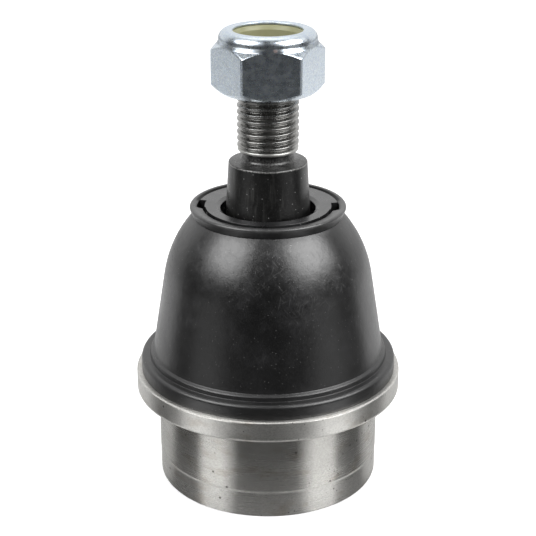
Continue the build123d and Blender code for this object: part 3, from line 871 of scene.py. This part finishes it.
def make_insert():
    """Nylon ring with a rounded mouth."""
    section = outline([
        (NUT_BORE_R, INSERT_LOW),
        (INSERT_R, INSERT_LOW),
        (INSERT_R, INSERT_TOP, 0.15),
        (NUT_BORE_R + 0.7, INSERT_TOP, 0.5),
        (NUT_BORE_R, INSERT_TOP - 0.9, 0.4),
    ], step=0.3)
    return lathe("insert_ring", section, segments=240, body="insert", replaces=["nylon_insert"])


# ---------------------------------------------------------------- dressing
def dress(piece, *materials):
    """Gives a piece these materials, the first of them everywhere until zone() says otherwise."""
    piece.data.materials.clear()
    for made in materials:
        piece.data.materials.append(made)


def zone(piece, index, low, high):
    """Gives the faces whose centres lie between two heights in mm another material."""
    for face in piece.data.polygons:
        if low * MM <= face.center.z < high * MM:
            face.material_index = index


housing = make_housing()
dress(
    housing,
    turned_steel(
        "turned_steel", (0.66, 0.65, 0.62), 0.26, pitting=0.10, worn=[(LAND_TOP + 0.1, 0.2)],
        pits=[(14.2, -21.7, 7.0, 0.35), (15.1, -21.0, 9.2, 0.25), (17.1, -19.4, 12.8, 0.3)],
    ),
    turned_steel(
        "flange_steel", (0.74, 0.73, 0.70), 0.40, anisotropic=0.8, pitting=0.2,
        worn=[(FLANGE_LOW + 0.35, 0.28), (FLANGE_TOP - 0.12, 0.12)],
    ),
    turned_steel(
        "land_steel", (0.66, 0.65, 0.625), 0.28, pitting=0.2, worn=[(LAND_TOP, 0.2)],
        pits=[(-23.1, -11.6, 4.6, 0.45), (-19.1, -17.5, 3.2, 0.35), (15.1, -21.0, 4.6, 0.3)],
    ),
)
zone(housing, 1, FLANGE_LOW - 0.1, NECK_TOP + 1)
zone(housing, 2, 0, LAND_TOP)

lower_boot, upper_boot = make_boot()
rubber = boot_rubber()
dress(lower_boot, rubber)
dress(upper_boot, rubber)
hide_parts("dust_boot")
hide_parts("dust_boot")

stud = make_stud()
ball_steel = turned_steel("ball_steel", (0.50, 0.495, 0.48), 0.2)
dress(stud, phosphated_taper(), worn_thread(), ball_steel)
zone(stud, 1, THREAD_LOW, STUD_TOP + 1)
zone(stud, 2, 0, BRIGHT_TOP)
dress(make_neck_ring(), black_polymer())
dress(make_nut(), zinc_plate())
dress(make_insert(), nylon())

# Inner pieces keep their CAD shapes.
for node, name, color, roughness, finish in (
    ("cover_plate", "plate_steel", (0.42, 0.42, 0.41), 0.42, {"anisotropic": 0.3}),
    ("preload_spring", "spring_steel", (0.16, 0.16, 0.17), 0.35, {"anisotropic": 0.3}),
    ("pressure_seat", "seat_steel", (0.34, 0.33, 0.32), 0.45, {"anisotropic": 0.0, "pitting": 0.3}),
    ("boot_base_ring", "ring_steel", (0.42, 0.42, 0.42), 0.3, {"anisotropic": 0.3}),
):
    dress(frame_nodes[node], turned_steel(name, color, roughness, **finish))
cup_polymer = acetal()
for name in ("upper_bearing_cup", "lower_bearing_cup"):
    dress(frame_nodes[name], cup_polymer)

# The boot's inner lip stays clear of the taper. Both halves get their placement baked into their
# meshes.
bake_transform(lower_boot)
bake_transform(upper_boot)


# ---------------------------------------------------------------- studio
def area_light(name, azimuth, elevation, distance, size, radiance):
    """A softbox aimed at the joint, at this azimuth from -Y and this elevation, in degrees."""
    data = bpy.data.lights.new(name, "AREA")
    data.shape = "RECTANGLE"
    data.size, data.size_y = size
    data.energy = radiance * math.pi * size[0] * size[1]
    light = bpy.data.objects.new(name, data)
    bpy.context.scene.collection.objects.link(light)
    az, el = math.radians(azimuth), math.radians(elevation)
    away = Vector((math.sin(az) * math.cos(el), -math.cos(az) * math.cos(el), math.sin(el)))
    aim = Vector((0, 0, 50 * MM))
    light.location = aim + away * distance
    light.rotation_euler = (-away).to_track_quat("-Z", "Y").to_euler()


def make_world():
    """White to the camera. To everything else, bright behind the object and dim in front."""
    world = bpy.data.worlds.new("studio")
    bpy.context.scene.world = world
    world.use_nodes = True
    tree = world.node_tree
    direction = add(tree, "TexCoord").outputs["Generated"]
    behind = add(tree, "SeparateXYZ", {"Vector": direction}).outputs["Y"]
    tone = levels(tree, behind, [(0.1, 0.04), (0.24, 0.12), (0.36, 0.5), (0.5, 0.8), (0.7, 0.95)])
    camera_ray = add(tree, "LightPath").outputs["Is Camera Ray"]
    color = mix_color(tree, camera_ray, tone, grey(1.0))
    tree.links.new(color, tree.nodes["Background"].inputs["Color"])


def floor_tone(tree, radius):
    """The floor as the object mirrors it: white behind, grey at both sides and dark in front, as
    painted light and shade.

    Its sectors fan out from a point in front at the right and from its mirror image at the left.
    """
    fan_x, fan_y = 3.4 * MM, -17.6 * MM
    place = add(tree, "SeparateXYZ", {"Vector": rest_point(tree)}).outputs
    beside = maths(tree, "SUBTRACT", maths(tree, "ABSOLUTE", place["X"]), fan_x)
    beyond = maths(tree, "SUBTRACT", place["Y"], fan_y)
    outward = add(tree, "CombineXYZ", {"X": beside, "Y": beyond}).outputs["Vector"]
    outward = add(tree, "VectorMath", {0: outward}, operation="NORMALIZE").outputs["Vector"]
    behind = add(tree, "SeparateXYZ", {"Vector": outward}).outputs["Y"]
    near = levels(tree, behind, [
        (-0.87, 0.06), (-0.64, 0.80), (-0.32, 0.78), (-0.20, 0.08), (0.24, 0.06), (0.45, 0.5),
    ])
    middle = levels(tree, behind, [
        (-0.74, 0.045), (-0.64, 0.32), (-0.24, 0.32), (-0.14, 0.05), (0.24, 0.05), (0.45, 0.82),
    ])
    far = levels(tree, behind, [
        (-0.74, 0.005), (-0.64, 0.32), (-0.24, 0.32), (-0.14, 0.05), (0.24, 0.05), (0.45, 0.85),
    ])
    tone = mix_color(tree, ramp(tree, radius, 80 * MM, 130 * MM), near, middle)
    tone = mix_color(tree, ramp(tree, radius, 340 * MM, 440 * MM), tone, far)
    # A painted pool of light on the floor under and around the flange.
    painted_pool_under_flange = ramp(tree, radius, 34 * MM, 44 * MM, 0.2, 0.0)
    return mix_color(tree, painted_pool_under_flange, tone, grey(0.8))


def make_floor():
    """White to the camera, and with floor_tone's greys to everything else."""
    mesh = bpy.data.meshes.new("floor")
    reach = 4.0
    square = [(-reach, -reach, 0), (reach, -reach, 0), (reach, reach, 0), (-reach, reach, 0)]
    mesh.from_pydata(square, [], [(0, 1, 2, 3)])
    floor = bpy.data.objects.new("floor", mesh)
    bpy.context.scene.collection.objects.link(floor)
    made, tree, bsdf = material("floor", grey(0.8), 0, 0.9, emission_color=(1, 1, 1, 1))
    radius = add(tree, "VectorMath", {0: rest_point(tree)}, operation="LENGTH").outputs["Value"]
    camera_ray = add(tree, "LightPath").outputs["Is Camera Ray"]
    tone = mix_color(tree, camera_ray, floor_tone(tree, radius), grey(0.8))
    tree.links.new(tone, bsdf.inputs["Base Color"])
    glow = ramp(tree, radius, 0.4, 1.6, 0.45, 1.0)
    tree.links.new(times(tree, camera_ray, glow), bsdf.inputs["Emission Strength"])
    floor.data.materials.append(made)


def make_camera():
    """Camera 317 mm from a point 51 mm up the stud's axis, looking down at it by 21.6 degrees."""
    pitch, distance, aim_z = math.radians(21.575), 0.31703, 0.05075
    data = bpy.data.cameras.new("camera")
    data.sensor_width = 36
    data.lens = 92.02
    data.clip_start = 0.01
    camera = bpy.data.objects.new("camera", data)
    bpy.context.scene.collection.objects.link(camera)
    camera.location = (0, -distance * math.cos(pitch), aim_z + distance * math.sin(pitch))
    camera.rotation_euler = (math.pi / 2 - pitch, 0, 0)
    bpy.context.scene.camera = camera


make_world()
make_floor()
make_camera()
area_light("softbox_left", -60, 42, distance=0.8, size=(0.56, 0.54), radiance=5.5)
area_light("softbox_right", 63, 41, distance=0.8, size=(0.64, 0.58), radiance=6)
area_light("softbox_top", 180, 72, distance=0.9, size=(0.6, 0.5), radiance=1.6)
bpy.context.scene.view_settings.view_transform = "Standard"
